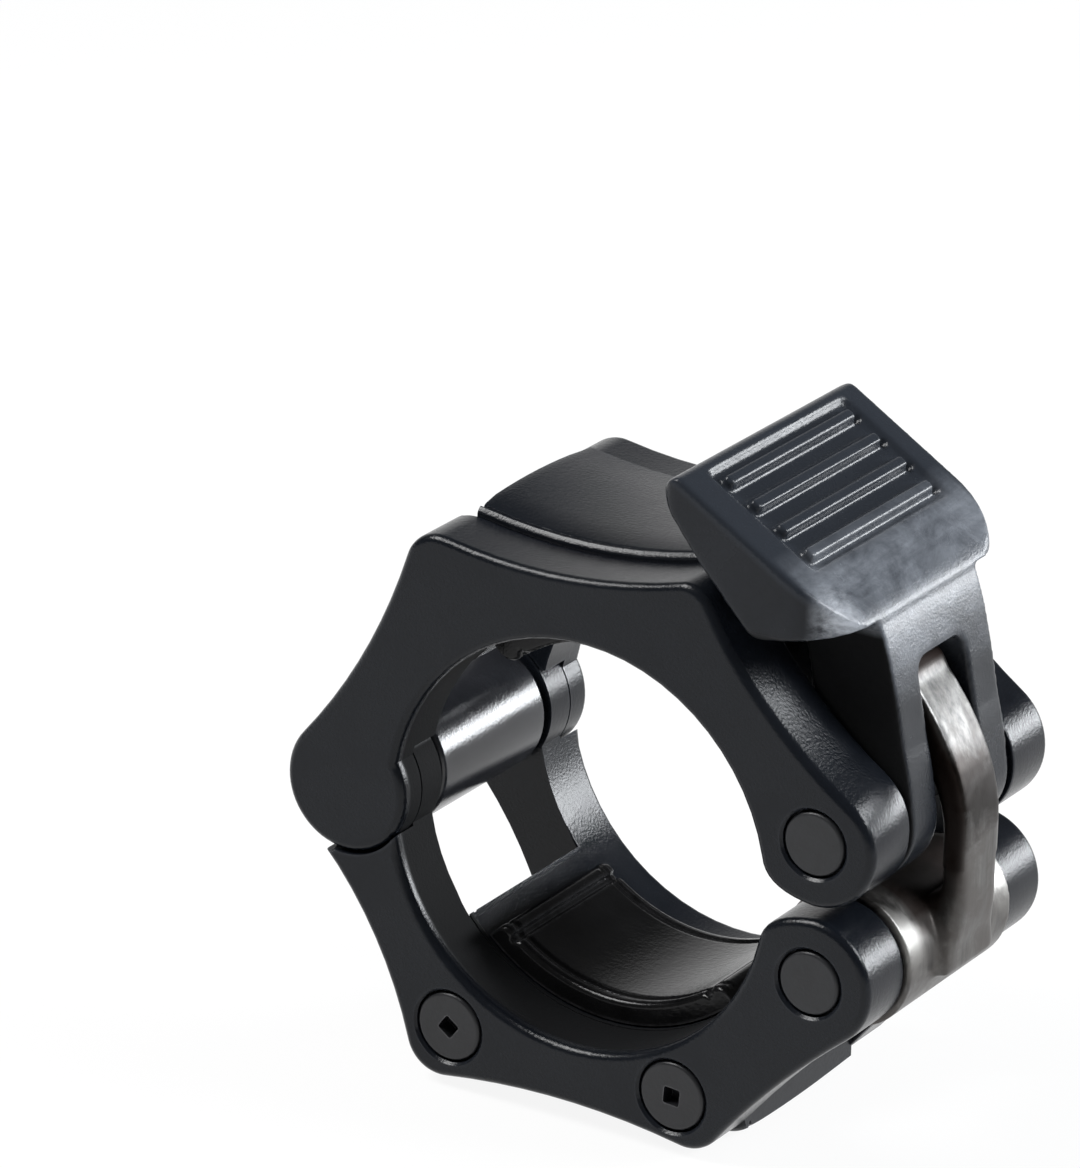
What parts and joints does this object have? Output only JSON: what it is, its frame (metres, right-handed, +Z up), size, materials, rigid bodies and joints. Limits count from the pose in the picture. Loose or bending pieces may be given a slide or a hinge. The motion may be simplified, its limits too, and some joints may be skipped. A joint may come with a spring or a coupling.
{
  "type": "barbell collar",
  "caption": "Lever-locking barbell collar: hinged jaws with rubber pads, closed on the sleeve by a ribbed lever and a steel link.",
  "frame": {"origin": "centre of the bore that holds the barbell sleeve, halfway along it", "axes": "+Y along the bore from the front face to the back face, +X from the hinge to the lever, +Z up with the lever's paddle on top"},
  "size_m": [0.093, 0.046, 0.0934],
  "materials": {
    "moulding": "satin black glass-filled nylon with a fine moulded grain",
    "lever_resin": "semi-gloss black nylon with paler flow marks at the root",
    "pad_rubber": "smooth black rubber, slightly shiny",
    "black_steel": "black oxide, satin",
    "pin_black": "black coated pin heads, satin",
    "barrel_resin": "polished black sleeve",
    "link_steel": "worn steel with brown tarnish near the ends",
    "insert_brass": "knurled brass",
    "nylon": "plain dark nylon"
  },
  "bodies": {
    "lower_jaw": {"lower_jaw_body": "moulding", "lower_jaw_front_cheek": "moulding", "lower_pad": "pad_rubber", "lower_screw_left": "black_steel", "lower_screw_right": "black_steel", "lower_nut_left": "black_steel", "lower_nut_right": "black_steel", "hinge_barrel": "barrel_resin", "hinge_washer_front": "nylon", "hinge_washer_back": "nylon", "link_pin": "pin_black", "link_pin_cap": "pin_black"},
    "upper_jaw": {"upper_jaw_body": "moulding", "upper_jaw_front_cheek": "moulding", "upper_pad": "pad_rubber", "upper_screw_left": "black_steel", "upper_screw_right": "black_steel", "upper_insert_left": "insert_brass", "upper_insert_right": "insert_brass", "hinge_pin": "black_steel", "lever_pin": "pin_black", "lever_pin_cap": "pin_black"},
    "lever_arm": {"lever": "lever_resin", "lever_washer_front": "nylon", "lever_washer_back": "nylon", "strap_pin": "link_steel"},
    "link_strap": {"link": "link_steel"}
  },
  "joints": [
    {"name": "lever_hinge", "type": "hinge", "parent": "upper_jaw", "child": "lever_arm", "pos_m": [0.0358, 0, 0.0097], "axis": [0, 1, 0], "range_deg": [0, 90]},
    {"name": "jaw_hinge", "type": "hinge", "parent": "lower_jaw", "child": "upper_jaw", "pos_m": [-0.0359, 0, 0], "axis": [0, -1, 0], "range_deg": [0, 8.1]},
    {"name": "link_hinge", "type": "hinge", "parent": "lever_arm", "child": "link_strap", "pos_m": [0.035, 0, 0.025], "axis": [0, -1, 0], "range_deg": [0, 58.9]}
  ],
  "couplings": [
    {"joint": "jaw_hinge", "follows": "lever_hinge", "ratio": 0.08872},
    {"joint": "link_hinge", "follows": "lever_hinge", "ratio": 0.65225}
  ]
}
